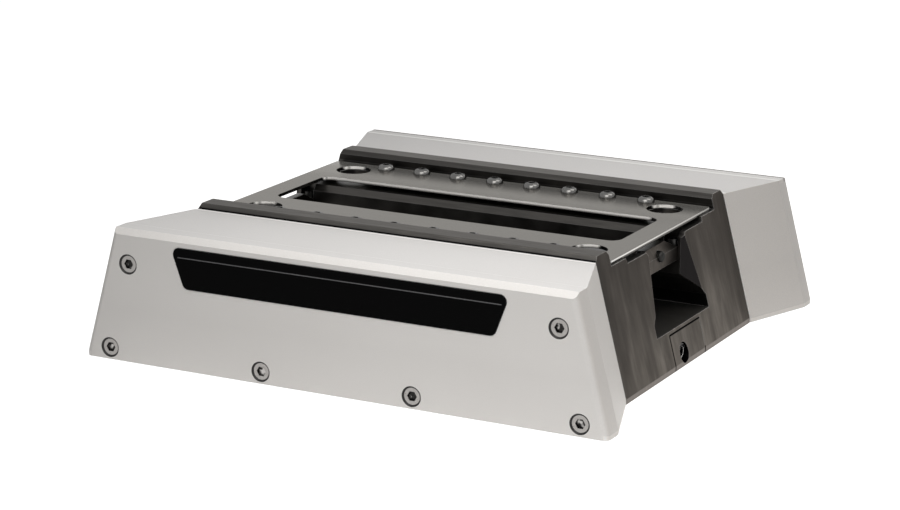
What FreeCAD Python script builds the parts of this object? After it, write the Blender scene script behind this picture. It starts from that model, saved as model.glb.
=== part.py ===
import FreeCAD, Part
import math
import os
import re
import Sketcher
from FreeCAD import Placement, Rotation, Vector

# Pneumatic zero-point chuck: a dark steel base with a T-shaped channel, a thin stainless top plate
# on two rails, and aluminium side covers that hide four spring-closed locking pistons.
# Millimetres. +X runs along the channel, +Y to the back cover, +Z up. The origin is the centre of
# the underside. The front half is modelled at negative Y and the back half is its mirror image.

doc = FreeCAD.newDocument("zero_point_chuck")

# Driving dimensions

SIZES = {
    # steel base
    "body_half_len": 145.5,
    "body_half_width": 92.5,
    "body_height": 80.0,
    "foot_height": 3.0,
    "end_tilt": 15.0,
    "rail_width": 17.5,
    "rail_outer_bevel": 3.0,
    "rail_inner_bevel": 2.5,
    "ledge_drop": 8.7,
    "ledge_width": 20.5,
    "pocket_step": 1.0,
    "pocket_depth": 2.9,
    "throat_half": 25.0,
    "throat_bevel": 3.5,
    "shoulder_level": 43.5,
    "channel_half": 38.5,
    "channel_level": 22.5,
    "leadin_length": 18.6,
    "leadin_slope": 0.9,
    # top plate and its screws
    "plate_inset": 19.8,
    "plate_side_gap": 2.7,
    "plate_thick": 2.0,
    "plate_corner": 2.0,
    "plate_end_width": 14.3,
    "window_half_width": 31.0,
    "window_corner": 7.0,
    "plate_screw_pitch": 25.0,
    "plate_screw_count": 8,
    "plate_screw_inset": 6.9,
    "button_head_dia": 10.5,
    "button_head_height": 3.3,
    "button_head_round": 2.9,
    "button_shank_dia": 6.0,
    "button_hex": 4.0,
    "button_hex_depth": 1.9,
    # mounting screws
    "mount_end_inset": 21.5,
    "mount_side_inset": 20.8,
    "mount_window_dia": 21.5,
    "mount_bore_dia": 20.5,
    "mount_hole_dia": 13.5,
    "mount_seat_depth": 11.1,
    "mount_head_dia": 18.0,
    "mount_head_height": 12.0,
    "mount_dia": 12.0,
    "mount_tip_level": 2.3,
    "mount_hex": 10.0,
    "mount_hex_depth": 6.0,
    # bridge bars across the throat
    "bar_inset": 20.5,
    "bar_thick": 8.6,
    "bar_drop": 3.4,
    "bar_height": 13.3,
    "bar_top_half": 14.0,
    "bar_shoulder_drop": 5.5,
    "bar_slope": 4.0,
    "bar_clearance": 0.1,
    "bar_tenon": 7.0,
    "bar_screw_dia": 4.0,
    "bar_screw_head_dia": 7.0,
    "bar_screw_head_height": 4.0,
    "bar_screw_grip": 5.7,
    "bar_screw_hex": 3.0,
    "bar_screw_hex_depth": 2.0,
    "nose_dia": 6.6,
    "nose_length": 2.0,
    "nose_round": 1.9,
    "nose_seat": 4.2,
    "nose_drop": 5.7,
    # key blocks under the channel mouths
    "key_depth": 30.0,
    "key_half_width": 22.0,
    "key_height": 20.0,
    "key_side_gap": 0.3,
    "key_top_gap": 0.6,
    "key_screw_y": 7.6,
    "key_screw_z": 7.5,
    "key_screw_sink": 3.0,
    "key_bore_dia": 11.8,
    "key_screw_dia": 6.0,
    "key_screw_head_dia": 10.8,
    "key_screw_head_height": 6.0,
    "key_screw_hex": 6.0,
    "key_screw_hex_depth": 3.0,
    # underside
    "locating_x": 90.0,
    "locating_dia": 12.0,
    "locating_depth": 12.0,
    "port_inset": 14.5,
    "port_dia": 8.6,
    "port_depth": 16.0,
    "port_seal_dia": 14.0,
    "port_seal_wall": 2.0,
    "port_seal_height": 1.2,
    # side covers
    "gasket_thick": 0.8,
    "gasket_inset": 1.5,
    "gasket_width": 8.0,
    "cover_flare": 17.0,
    "cover_depth": 49.3,
    "cover_plate_thick": 13.2,
    "cover_bevel_width": 3.5,
    "cover_bevel_height": 3.2,
    "cover_corner": 4.0,
    "web_thick": 8.0,
    "floor_gap": 0.5,
    "roof_gap": 5.5,
    "roof_wall": 8.2,
    "end_wall_low": 23.5,
    "end_wall_high": 41.5,
    "web_screw_inset": 16.0,
    "web_screw_rise": 11.0,
    "web_screw_drop": 9.0,
    "web_screw_dia": 6.0,
    "web_screw_head_dia": 10.0,
    "web_screw_head_height": 6.0,
    "web_screw_hex": 5.0,
    "web_screw_hex_depth": 3.0,
    "face_screw_top_inset": 29.5,
    "face_screw_top_drop": 20.1,
    "face_screw_end_inset": 16.4,
    "face_screw_mid_x": 47.0,
    "face_screw_low_z": 6.95,
    "face_screw_opening": 11.6,
    "face_screw_head_dia": 9.9,
    "face_screw_dia": 5.0,
    "face_screw_grip": 10.0,
    "face_screw_hex": 5.0,
    "face_screw_hex_depth": 1.6,
    # label
    "label_top_half": 104.7,
    "label_drop": 6.3,
    "label_low_half": 96.0,
    "label_height": 23.3,
    "label_corner": 4.0,
    "label_thick": 1.0,
    "label_sink": 0.8,
    "label_gap": 0.15,
    # locking cylinders
    "lock_x": 60.0,
    "lock_z": 38.5,
    "lock_stroke": 9.0,
    "lock_tip": 17.0,
    "rod_dia": 16.0,
    "rod_nose_dia": 9.0,
    "rod_nose_length": 8.0,
    "rod_bore_dia": 16.8,
    "rod_fit": 0.05,
    "bush_dia": 22.0,
    "bush_length": 20.0,
    "rod_seal_length": 4.0,
    "barrel_size": 50.0,
    "barrel_gap": 0.3,
    "barrel_bore": 36.0,
    "cap_thick": 6.0,
    "cap_spigot": 2.0,
    "vent_dia": 4.0,
    "piston_fit": 0.05,
    "piston_thick": 12.0,
    "piston_start": 2.0,
    "piston_seal_width": 3.0,
    "piston_seal_wall": 2.5,
    "spring_dia": 29.0,
    "spring_wire_width": 4.5,
    "spring_wire_height": 2.4,
    "spring_turns": 3.5,
    "spring_packed": 13.0,
    "spring_end_gap": 0.2,
    "cylinder_screw_spread": 20.0,
    "cylinder_screw_dia": 5.0,
    "cylinder_screw_head_dia": 8.5,
    "cylinder_screw_head_height": 5.0,
    "cylinder_screw_hex": 4.0,
    "cylinder_screw_hex_depth": 2.5,
    # screw holes
    "screw_grip": 12.0,
    "drill_over": 3.0,
    "thread_gap": 0.05,
    "clearance_share": 1.1,
}

# Places that follow from the sizes, kept on the sheet as formulas
FORMULAS = {
    "rail_inner": "=body_half_width - rail_width",
    "pocket_half": "=rail_inner - ledge_width",
    "plate_half_width": "=rail_inner - plate_side_gap",
    "plate_screw_row": "=plate_half_width - plate_screw_inset",
    "leadin_start": "=body_half_len - leadin_length",
    "plate_half_len": "=body_half_len - plate_inset",
    "window_half_len": "=plate_half_len - plate_end_width",
    "mount_x": "=plate_half_len - mount_end_inset",
    "mount_y": "=rail_inner - mount_side_inset",
    "bar_outer": "=body_half_len - bar_inset",
    "port_y": "=body_half_width - port_inset",
    "cover_knee": "=body_half_width + cover_depth",
    "cover_face": "=cover_knee + cover_plate_thick",
}

sheet = doc.addObject("Spreadsheet::Sheet", "Sizes")
for row, (alias, value) in enumerate({**SIZES, **FORMULAS}.items(), start=1):
    sheet.set(f"A{row}", alias)
    sheet.set(f"B{row}", str(value))
    sheet.setAlias(f"B{row}", alias)
doc.recompute()

# Further places, written as expressions

LEDGE = "(body_height - ledge_drop)"
POCKET = f"({LEDGE} - pocket_depth)"
MOUNT_SEAT = f"({POCKET} - mount_seat_depth)"
BAR_INNER = "(bar_outer - bar_thick)"
BAR_TOP = f"({POCKET} - bar_drop)"
BAR_SHOULDER = f"({BAR_TOP} - bar_shoulder_drop)"
BAR_BOTTOM = f"({BAR_TOP} - bar_height)"
BAR_SCREW_Y = "(throat_half + bar_tenon / 2)"
GASKET_FACE = "(body_half_width + gasket_thick)"
WEB_FACE = "(body_half_width + gasket_thick + web_thick)"
FLARE = "(cover_flare / (cover_knee - body_half_width))"
COVER_HALF = "(body_half_len + cover_flare)"
CAVITY_FLOOR = "(lock_z - barrel_size / 2 - floor_gap)"
CAVITY_ROOF = "(lock_z + barrel_size / 2 + roof_gap)"
CAVITY_FLOOR_HALF = f"({COVER_HALF} - end_wall_low)"
CAVITY_ROOF_HALF = f"({COVER_HALF} - end_wall_high)"
COVER_HEIGHT = f"({CAVITY_ROOF} + roof_wall)"
BEVEL_FOOT = f"({COVER_HEIGHT} - cover_bevel_height)"
LABEL_TOP = f"({COVER_HEIGHT} - label_drop)"
LABEL_LOW = f"({LABEL_TOP} - label_height)"
WEB_SCREW_X = f"({CAVITY_ROOF_HALF} - web_screw_inset)"
WEB_SCREW_LOW = f"({CAVITY_FLOOR} + web_screw_rise)"
WEB_SCREW_HIGH = f"({CAVITY_ROOF} - web_screw_drop)"
WEB_SCREWS = [(x, z) for x in (WEB_SCREW_X, "0", f"-{WEB_SCREW_X}")
              for z in (WEB_SCREW_LOW, WEB_SCREW_HIGH)]
KEY_START = "(body_half_len - key_depth)"
BUSH_START = "(body_half_width - bush_length)"
SEAL_START = "(body_half_width - bush_length - rod_seal_length)"
PISTON_END = "(body_half_width + piston_start + piston_thick)"
BARREL_END = f"({PISTON_END} + lock_stroke + spring_packed + cap_spigot)"
BARREL_LENGTH = f"({BARREL_END} - body_half_width)"
CAP_FACE = f"({BARREL_END} + cap_thick)"
FACE_SCREW_SINK = "((face_screw_opening - face_screw_head_dia) / 2)"
FACE_SCREWS = [(f"{sign}({x})", z) for sign in ("", "-") for x, z in (
    (f"{COVER_HALF} - face_screw_top_inset", f"{COVER_HEIGHT} - face_screw_top_drop"),
    (f"{COVER_HALF} - face_screw_end_inset", "face_screw_low_z"),
    ("face_screw_mid_x", "face_screw_low_z"))]


def q(text):
    """Expression text with every size name pointed at the sheet."""
    return re.sub(r"[a-z]+(_[a-z]+)+", lambda name: "Sizes." + name.group(0), str(text))


def bind(target, prop, text):
    target.setExpression(prop, q(text))


def size(name):
    """Value of one cell, for the few places that need a number."""
    return float(sheet.get(name))


def half_length(level, base="body_half_len"):
    """Half-length of the tilted end faces at a height above the foot band."""
    return f"({base} - ({level} - foot_height) * tan(end_tilt))"


# Sketches

def body(label):
    new = doc.addObject("PartDesign::Body", label)
    new.Label = label
    new.AllowCompound = True
    return new


def plane_of(owner, role):
    return next(item for item in owner.Origin.OriginFeatures if item.Role == role)


def sketch(owner, plane, offset=None):
    """Sketch on an origin plane; its offset runs along +Z, -Y or +X for XY, XZ and YZ."""
    new = owner.newObject("Sketcher::SketchObject", owner.Name + "_sketch")
    new.AttachmentSupport = [(plane_of(owner, plane), "")]
    new.MapMode = "FlatFace"
    if offset is not None:
        bind(new, "AttachmentOffset.Base.z", offset)
    return new


def pin(target, geometry, vertex, place):
    """Hold one sketch point at a place given as two expressions."""
    for text, kind, axis in ((place[0], "DistanceX", -2), (place[1], "DistanceY", -1)):
        if text == "0":
            target.addConstraint(Sketcher.Constraint("PointOnObject", geometry, vertex, axis))
        else:
            rule = target.addConstraint(Sketcher.Constraint(kind, -1, 1, geometry, vertex, 1.0))
            bind(target, f"Constraints[{rule}]", text)


def polygon(target, places):
    first = target.GeometryCount
    count = len(places)
    angles = [2 * math.pi * index / count for index in range(count + 1)]
    corners = [Vector(math.cos(angle), math.sin(angle), 0) for angle in angles]
    for start, end in zip(corners, corners[1:]):
        target.addGeometry(Part.LineSegment(start, end))
    for index in range(count):
        following = first + (index + 1) % count
        target.addConstraint(Sketcher.Constraint("Coincident", first + index, 2, following, 1))
    for index, place in enumerate(places):
        pin(target, first + index, 1, place)


def circle(target, place, radius):
    index = target.addGeometry(Part.Circle(Vector(1, 1, 0), Vector(0, 0, 1), 1))
    pin(target, index, 3, place)
    rule = target.addConstraint(Sketcher.Constraint("Radius", index, 1.0))
    bind(target, f"Constraints[{rule}]", radius)


def rectangle(target, low, high):
    polygon(target, [low, (high[0], low[1]), high, (low[0], high[1])])


def negative(text):
    return "0" if text == "0" else f"-({text})"


def both_sides(places):
    """The places and their mirror image in the sketch's vertical axis."""
    return places + [(negative(u), v) for u, v in reversed(places)]


def hexagon(target, place, across):
    corner = f"({across}) / sqrt(3)"
    offsets = [(corner, "0"), (f"{corner} / 2", f"({across}) / 2"),
               (f"-{corner} / 2", f"({across}) / 2"), (f"-{corner}", "0"),
               (f"-{corner} / 2", f"-({across}) / 2"), (f"{corner} / 2", f"-({across}) / 2")]
    places = []
    for du, dv in offsets:
        u = du if place[0] == "0" else f"{place[0]} + ({du})"
        v = dv if place[1] == "0" else f"{place[1]} + ({dv})"
        places.append((u, v))
    polygon(target, places)


# Features

def feature(owner, kind, profile, **values):
    new = owner.newObject("PartDesign::" + kind, owner.Name + "_" + kind.lower())
    new.Profile = profile
    profile.Visibility = False
    for prop, value in values.items():
        if isinstance(value, str) and prop not in ("SideType", "Type"):
            bind(new, prop, value)
        else:
            setattr(new, prop, value)
    return new


def pad(owner, profile, length, **more):
    return feature(owner, "Pad", profile, Length=length, **more)


def pocket(owner, profile, length, **more):
    return feature(owner, "Pocket", profile, Length=length, **more)


def through(owner, profile):
    return feature(owner, "Pocket", profile, SideType="Symmetric", Type="ThroughAll")


def revolve(owner, profile):
    new = feature(owner, "Revolution", profile)
    new.ReferenceAxis = (profile, ["V_Axis"])
    new.Angle = 360
    return new


def soften(owner, kind, prop, amount, chosen):
    """Fillet or chamfer the edges of the body's last feature that chosen accepts."""
    doc.recompute()
    base = owner.Tip
    names = [f"Edge{index}" for index, edge in enumerate(base.Shape.Edges, start=1)
             if chosen(edge)]
    new = owner.newObject("PartDesign::" + kind, owner.Name + "_" + kind.lower())
    new.Base = (base, names)
    bind(new, prop, amount)
    return new


def along(axis):
    """Test for straight edges that run along one axis."""
    def test(edge):
        if len(edge.Vertexes) != 2 or edge.Curve.TypeId != "Part::GeomLine":
            return False
        return abs(edge.tangentAt(edge.FirstParameter).dot(axis)) > 0.999
    return test


# Groups and mirror images

NORMALS = {"x": Vector(1, 0, 0), "y": Vector(0, 1, 0)}


def mirrored(label, source, normal):
    new = doc.addObject("Part::Mirroring", label)
    new.Label = label
    new.Source = source
    new.Base = Vector(0, 0, 0)
    new.Normal = NORMALS[normal]
    return new


def group(label, members):
    new = doc.addObject("Part::Compound", label)
    new.Label = label
    new.Links = members
    return new


def cut(label, base, tool):
    new = doc.addObject("Part::Cut", label)
    new.Label = label
    new.Base = base
    new.Tool = tool
    return new


def four_corners(label, source):
    """The source with its mirror images in X, in Y and in both."""
    pair = group(label + "_pair", [source, mirrored(label + "_other_end", source, "x")])
    return group(label, [pair, mirrored(label + "_other_side", pair, "y")])


def place(target, x="0", y="0", z="0", rotation=Rotation()):
    target.Placement = Placement(Vector(0, 0, 0), rotation)
    for axis, text in zip("xyz", (x, y, z)):
        if text != "0":
            bind(target, f"Placement.Base.{axis}", text)
    return target


POINT_AT_FRONT = Rotation(Vector(0, 0, 1), Vector(0, -1, 0))
POINT_AT_RIGHT = Rotation(Vector(0, 0, 1), Vector(1, 0, 0))


# Screws, drawn head up with the seat at the origin

def cap_screw(label, prefix, length, dressed=True):
    """Socket head cap screw; dressed ones have the head's top edge chamfered."""
    new = body(label)
    head = sketch(new, "XY_Plane")
    circle(head, ("0", "0"), f"{prefix}_head_dia / 2")
    pad(new, head, f"{prefix}_head_height")
    if dressed:
        soften(new, "Chamfer", "Size", f"{prefix}_head_dia * 0.06", top_rim)
    socket = sketch(new, "XY_Plane", f"{prefix}_head_height")
    hexagon(socket, ("0", "0"), f"{prefix}_hex")
    pocket(new, socket, f"{prefix}_hex_depth")
    shank = sketch(new, "XY_Plane")
    circle(shank, ("0", "0"), f"{prefix}_dia / 2")
    pad(new, shank, length, Reversed=True)
    return new


def top_rim(edge):
    """Test for a full circle above the XY plane."""
    return edge.BoundBox.ZMin > 0.1 and len(edge.Vertexes) == 1


def button_screw(label):
    """Button head screw with a hexagon socket."""
    new = body(label)
    head = sketch(new, "XY_Plane")
    circle(head, ("0", "0"), "button_head_dia / 2")
    pad(new, head, "button_head_height")
    soften(new, "Fillet", "Radius", "button_head_round", top_rim)
    socket = sketch(new, "XY_Plane", "button_head_height")
    hexagon(socket, ("0", "0"), "button_hex")
    pocket(new, socket, "button_hex_depth")
    shank = sketch(new, "XY_Plane")
    circle(shank, ("0", "0"), "button_shank_dia / 2")
    pad(new, shank, "plate_thick + screw_grip", Reversed=True)
    return new


def countersunk_screw(label):
    """Countersunk screw drawn with its head's flat top at the origin."""
    new = body(label)
    outline = sketch(new, "XZ_Plane")
    head = "face_screw_head_dia / 2"
    shank = "face_screw_dia / 2"
    length = f"(cover_plate_thick - {FACE_SCREW_SINK} + face_screw_grip)"
    polygon(outline, [("0", "0"), (head, "0"), (shank, f"{shank} - {head}"),
                      (shank, f"-{length}"), ("0", f"-{length}")])
    revolve(new, outline)
    socket = sketch(new, "XY_Plane")
    hexagon(socket, ("0", "0"), "face_screw_hex")
    pocket(new, socket, "face_screw_hex_depth")
    return new


# Steel base

def end_wedges(target):
    """Outlines of what the tilted end faces leave off, seen from the front."""
    far = "(body_half_len + body_height)"
    top = "(body_height * 2)"
    for sign in ("", "-"):
        polygon(target, [(f"{sign}body_half_len", "foot_height"),
                         (f"{sign}{half_length(top)}", top),
                         (f"{sign}{far}", top), (f"{sign}{far}", "foot_height")])


def base_body():
    base = body("base_body")
    section = sketch(base, "YZ_Plane")
    shoulder_foot = "shoulder_level - (channel_half - throat_half)"
    polygon(section, both_sides([
        ("body_half_width", "0"),
        ("body_half_width", "body_height - rail_outer_bevel"),
        ("body_half_width - rail_outer_bevel", "body_height"),
        ("rail_inner + rail_inner_bevel", "body_height"),
        ("rail_inner", "body_height - rail_inner_bevel"),
        ("rail_inner", LEDGE),
        ("pocket_half + pocket_step", LEDGE),
        ("pocket_half", POCKET),
        ("throat_half + throat_bevel", POCKET),
        ("throat_half", f"{POCKET} - throat_bevel"),
        ("throat_half", "shoulder_level"),
        ("channel_half", shoulder_foot),
        ("channel_half", "channel_level")]))
    pad(base, section, "2 * body_half_len", SideType="Symmetric")

    ends = sketch(base, "XZ_Plane")
    end_wedges(ends)
    through(base, ends)

    mouths = sketch(base, "XY_Plane", "channel_level")
    reach = "body_half_len + foot_height"
    wide = f"throat_half + ({reach} - leadin_start) * leadin_slope"
    for sign in ("", "-"):
        polygon(mouths, [(f"{sign}leadin_start", "throat_half"), (f"{sign}({reach})", wide),
                         (f"{sign}({reach})", f"-({wide})"), (f"{sign}leadin_start", "-throat_half")])
    pocket(base, mouths, "body_height - channel_level", Reversed=True)

    slots = sketch(base, "XY_Plane", POCKET)
    slot_half = "throat_half + bar_tenon"
    for sign in ("", "-"):
        rectangle(slots, (f"{sign}{BAR_INNER}", f"-({slot_half})"),
                  (f"{sign}bar_outer", slot_half))
    pocket(base, slots, f"{POCKET} - {BAR_BOTTOM}")

    bar_holes = sketch(base, "XY_Plane", BAR_BOTTOM)
    seats = sketch(base, "XY_Plane", "body_height")
    holes = sketch(base, "XY_Plane")
    locating = sketch(base, "XY_Plane")
    for sx in ("", "-"):
        circle(locating, (f"{sx}locating_x", "0"), "locating_dia / 2")
        for sy in ("", "-"):
            bar_place = (f"{sx}(bar_outer - bar_thick / 2)", f"{sy}{BAR_SCREW_Y}")
            circle(bar_holes, bar_place, "bar_screw_dia / 2 + thread_gap")
            circle(seats, (f"{sx}mount_x", f"{sy}mount_y"), "mount_bore_dia / 2")
            circle(holes, (f"{sx}mount_x", f"{sy}mount_y"), "mount_hole_dia / 2")
    pocket(base, bar_holes, "bar_screw_grip + drill_over / 2")
    pocket(base, seats, f"body_height - {MOUNT_SEAT}")
    through(base, holes)
    pocket(base, locating, "locating_depth", Reversed=True)

    tapped = sketch(base, "XY_Plane", LEDGE)
    for index in range(int(size("plate_screw_count"))):
        x = f"({index} - (plate_screw_count - 1) / 2) * plate_screw_pitch"
        for sy in ("", "-"):
            circle(tapped, (x, f"{sy}plate_screw_row"), "button_shank_dia / 2 + thread_gap")
    pocket(base, tapped, "screw_grip + drill_over")

    rods = sketch(base, "XZ_Plane")
    for sx in ("", "-"):
        circle(rods, (f"{sx}lock_x", "lock_z"), "rod_bore_dia / 2")
    through(base, rods)

    for side, inward in (("body_half_width", False), ("-body_half_width", True)):
        bushes = sketch(base, "XZ_Plane", side)
        screws = sketch(base, "XZ_Plane", side)
        for sx in ("", "-"):
            circle(bushes, (f"{sx}lock_x", "lock_z"), "bush_dia / 2")
            for lean in ("+", "-"):
                for rise in ("+", "-"):
                    circle(screws, (f"{sx}(lock_x {lean} cylinder_screw_spread)",
                                    f"lock_z {rise} cylinder_screw_spread"),
                           "cylinder_screw_dia / 2 + thread_gap")
        for spot in WEB_SCREWS:
            circle(screws, spot, "web_screw_dia / 2 + thread_gap")
        pocket(base, bushes, "bush_length + rod_seal_length", Reversed=inward)
        pocket(base, screws, "screw_grip + drill_over", Reversed=inward)

    keys = sketch(base, "XY_Plane")
    key_half = "key_half_width + key_side_gap"
    for sign in ("", "-"):
        rectangle(keys, (f"{sign}{KEY_START}", f"-({key_half})"),
                  (f"{sign}({reach})", key_half))
    pocket(base, keys, "key_height + key_top_gap", Reversed=True)

    for start, outward in ((f"({KEY_START} - screw_grip - drill_over)", True),
                           (f"-({KEY_START} - screw_grip - drill_over)", False)):
        key_holes = sketch(base, "YZ_Plane", start)
        circle(key_holes, ("-key_screw_y", "key_screw_z"), "key_screw_dia / 2 + thread_gap")
        pocket(base, key_holes, "screw_grip + drill_over + key_depth", Reversed=outward)

    ports = sketch(base, "XY_Plane")
    port_seals = sketch(base, "XY_Plane")
    for sy in ("", "-"):
        circle(ports, ("0", f"{sy}port_y"), "port_dia / 2")
        circle(port_seals, ("0", f"{sy}port_y"), "port_seal_dia / 2")
    pocket(base, ports, "port_depth", Reversed=True)
    pocket(base, port_seals, "port_seal_height", Reversed=True)
    return base


# Top plate

def top_plate():
    plate = body("top_plate")
    outline = sketch(plate, "XY_Plane", LEDGE)
    rectangle(outline, ("-plate_half_len", "-plate_half_width"),
              ("plate_half_len", "plate_half_width"))
    pad(plate, outline, "plate_thick")
    soften(plate, "Fillet", "Radius", "plate_corner", along(Vector(0, 0, 1)))
    window = sketch(plate, "XY_Plane", LEDGE)
    rectangle(window, ("-window_half_len", "-window_half_width"),
              ("window_half_len", "window_half_width"))
    pocket(plate, window, "plate_thick", Reversed=True)
    limit = (size("window_half_len") + size("plate_half_len")) / 2

    def at_window(edge):
        return along(Vector(0, 0, 1))(edge) and abs(edge.BoundBox.Center.x) < limit
    soften(plate, "Fillet", "Radius", "window_corner", at_window)
    holes = sketch(plate, "XY_Plane", LEDGE)
    for sy in ("", "-"):
        for sx in ("", "-"):
            circle(holes, (f"{sx}mount_x", f"{sy}mount_y"), "mount_window_dia / 2")
        for index in range(int(size("plate_screw_count"))):
            x = f"({index} - (plate_screw_count - 1) / 2) * plate_screw_pitch"
            circle(holes, (x, f"{sy}plate_screw_row"), "button_shank_dia * clearance_share / 2")
    pocket(plate, holes, "plate_thick", Reversed=True)
    return plate


def plate_screws():
    screws = []
    for index in range(int(size("plate_screw_count"))):
        screws.append(place(button_screw(f"plate_screw_{index + 1}"),
                            f"({index} - (plate_screw_count - 1) / 2) * plate_screw_pitch",
                            "-plate_screw_row", f"{LEDGE} + plate_thick"))
    front = group("plate_screws_front", screws)
    return [front, mirrored("plate_screws_back", front, "y")]


def mounting_screws():
    screw = place(cap_screw("mounting_screw", "mount", f"{MOUNT_SEAT} - mount_tip_level"),
                  "mount_x", "-mount_y", MOUNT_SEAT)
    return four_corners("mounting_screws", screw)


# Bridge bars and key blocks at the channel mouths

def bridge_bar():
    bar = body("bridge_bar_right")
    profile = sketch(bar, "YZ_Plane", BAR_INNER)
    end = "throat_half + bar_tenon - bar_clearance"
    neck = "throat_half - bar_clearance"
    polygon(profile, both_sides([
        (end, BAR_BOTTOM), (end, BAR_SHOULDER), (neck, BAR_SHOULDER),
        ("bar_top_half", BAR_TOP)]))
    pad(bar, profile, "bar_thick - bar_clearance")
    nose = sketch(bar, "YZ_Plane", "bar_outer - bar_clearance")
    circle(nose, ("0", f"{BAR_TOP} - nose_drop"), "nose_dia / 2 + thread_gap")
    pocket(bar, nose, "nose_seat")
    slope = sketch(bar, "XZ_Plane")
    polygon(slope, [("bar_outer", BAR_SHOULDER), ("bar_outer", BAR_TOP),
                    ("bar_outer - bar_slope", BAR_TOP)])
    pocket(bar, slope, f"2 * ({end})", SideType="Symmetric")
    holes = sketch(bar, "XY_Plane", BAR_SHOULDER)
    for sy in ("", "-"):
        circle(holes, ("bar_outer - bar_thick / 2", f"{sy}{BAR_SCREW_Y}"),
               "bar_screw_dia * clearance_share / 2")
    pocket(bar, holes, f"{BAR_SHOULDER} - {BAR_BOTTOM}")
    return [bar, mirrored("bridge_bar_left", bar, "x")]


def bar_screws():
    length = f"{BAR_SHOULDER} - {BAR_BOTTOM} + bar_screw_grip"
    screw = place(cap_screw("bar_screw", "bar_screw", length, dressed=False),
                  "bar_outer - bar_thick / 2", f"-{BAR_SCREW_Y}", BAR_SHOULDER)
    return four_corners("bridge_bar_screws", screw)


def stop_studs():
    """Round-nosed pins pressed into the outer faces of the bridge bars."""
    pin = body("stop_pin")
    round_bar = sketch(pin, "XY_Plane")
    circle(round_bar, ("0", "0"), "nose_dia / 2")
    pad(pin, round_bar, "nose_seat + nose_length")
    soften(pin, "Fillet", "Radius", "nose_round", top_rim)
    place(pin, "bar_outer - bar_clearance - nose_seat", "0", f"{BAR_TOP} - nose_drop",
          POINT_AT_RIGHT)
    return group("stop_studs", [pin, mirrored("stop_pin_left", pin, "x")])


def key_block():
    block = body("key_block_right")
    side = sketch(block, "XZ_Plane")
    polygon(side, [(KEY_START, "0"), ("body_half_len", "0"), ("body_half_len", "foot_height"),
                   (half_length("key_height"), "key_height"), (KEY_START, "key_height")])
    pad(block, side, "2 * key_half_width", SideType="Symmetric")
    bore = sketch(block, "YZ_Plane", "body_half_len")
    circle(bore, ("-key_screw_y", "key_screw_z"), "key_bore_dia / 2")
    pocket(block, bore, "key_screw_sink + key_screw_head_height")
    hole = sketch(block, "YZ_Plane", KEY_START)
    circle(hole, ("-key_screw_y", "key_screw_z"), "key_screw_dia * clearance_share / 2")
    pocket(block, hole, "key_depth", Reversed=True)
    return [block, mirrored("key_block_left", block, "x")]


def key_screws():
    length = "key_depth - key_screw_sink - key_screw_head_height + screw_grip"
    screw = place(cap_screw("key_screw", "key_screw", length),
                  "body_half_len - key_screw_sink - key_screw_head_height", "-key_screw_y",
                  "key_screw_z", POINT_AT_RIGHT)
    return group("key_block_screws", [screw, mirrored("key_screw_left", screw, "x")])


def port_seals():
    ring = body("port_seal")
    outline = sketch(ring, "XZ_Plane")
    outer = "port_seal_dia / 2 - 0.1"
    rectangle(outline, (f"{outer} - port_seal_wall", "0.1"), (outer, "port_seal_height"))
    revolve(ring, outline)
    place(ring, "0", "-port_y", "0")
    return group("port_seals", [ring, mirrored("port_seal_back", ring, "y")])


# Side covers, modelled at the front

def cover_outline(target, base, top):
    """Outline of a cover at one distance from the channel: foot band, then tilted ends."""
    polygon(target, both_sides([(base, "0"), (base, "foot_height"),
                                (half_length(top, base), top)]))


def cover_half(distance):
    return f"(body_half_len + ({distance} - body_half_width) * {FLARE})"


def loft(owner, kind, first, last):
    new = owner.newObject("PartDesign::" + kind, owner.Name + "_loft")
    new.Profile = first
    new.Sections = [last]
    new.Ruled = True
    return new


def cover_frame():
    frame = body("cover_frame_front")
    inner = sketch(frame, "XZ_Plane", GASKET_FACE)
    cover_outline(inner, cover_half(GASKET_FACE), COVER_HEIGHT)
    outer = sketch(frame, "XZ_Plane", "cover_knee")
    cover_outline(outer, COVER_HALF, COVER_HEIGHT)
    loft(frame, "AdditiveLoft", inner, outer)

    cavity = sketch(frame, "XZ_Plane", "cover_knee")
    polygon(cavity, both_sides([(CAVITY_FLOOR_HALF, CAVITY_FLOOR),
                                (CAVITY_ROOF_HALF, CAVITY_ROOF)]))
    pocket(frame, cavity, f"cover_knee - {WEB_FACE}")

    windows = sketch(frame, "XZ_Plane", WEB_FACE)
    half = "barrel_size / 2 + barrel_gap"
    for sx in ("", "-"):
        rectangle(windows, (f"{sx}(lock_x - ({half}))", f"lock_z - ({half})"),
                  (f"{sx}(lock_x + {half})", f"lock_z + {half}"))
    pocket(frame, windows, "web_thick")

    web_holes = sketch(frame, "XZ_Plane", WEB_FACE)
    for spot in WEB_SCREWS:
        circle(web_holes, spot, "web_screw_dia * clearance_share / 2")
    pocket(frame, web_holes, "web_thick")

    face_holes = sketch(frame, "XZ_Plane", "cover_knee")
    for x, z in FACE_SCREWS:
        circle(face_holes, (x, z), "face_screw_dia / 2 + thread_gap")
    pocket(frame, face_holes, "face_screw_grip + drill_over")
    return [frame, mirrored("cover_frame_back", frame, "y")]


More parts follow.
